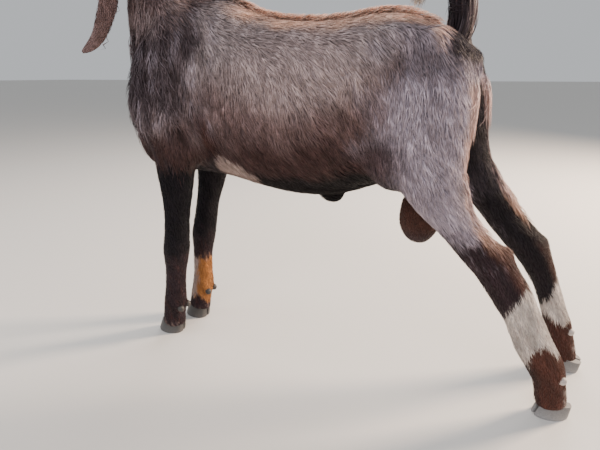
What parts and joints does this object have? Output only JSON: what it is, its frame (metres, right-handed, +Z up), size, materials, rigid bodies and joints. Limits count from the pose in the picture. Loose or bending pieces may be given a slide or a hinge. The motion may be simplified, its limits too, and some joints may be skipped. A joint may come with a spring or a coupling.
{
  "type": "billy goat model",
  "caption": "Life-size standing billy goat with long hanging ears, twisted horns, beard, raised curled tail and a short coat with long fringes.",
  "frame": {"origin": "on the floor, under the middle of the goat's bounding box", "axes": "+X towards the tail, the goat faces -X, +Y its right side, +Z up"},
  "size_m": [1.3932, 0.3564, 1.3475],
  "materials": {
    "coat": "grey-brown short hair",
    "leg": "dark red-brown short hair",
    "white": "cream-white long hair",
    "skin": "smooth red-brown skin",
    "horn": "dark ridged horn",
    "hoof": "slate-grey worn horn",
    "eye": "wet amber"
  },
  "bodies": {
    "root": {"torso": "coat", "neck": "coat", "head": "coat", "tail_root": "coat", "tail_end": "white", "hind_leg_upper_left": "coat", "hind_leg_upper_right": "coat", "fore_leg_upper_left": "leg", "fore_leg_upper_right": "leg", "fore_leg_lower_left": "leg", "fore_leg_lower_right": "leg", "hind_leg_lower_left": "leg", "hind_leg_lower_right": "leg", "ear_left": "leg", "ear_right": "leg", "eye_left": "eye", "eye_right": "eye", "horn_left": "horn", "horn_right": "horn", "scrotum": "skin", "claw_fore_left_a": "hoof", "claw_fore_left_b": "hoof", "claw_fore_right_a": "hoof", "claw_fore_right_b": "hoof", "claw_hind_left_a": "hoof", "claw_hind_left_b": "hoof", "claw_hind_right_a": "hoof", "claw_hind_right_b": "hoof"}
  },
  "joints": []
}
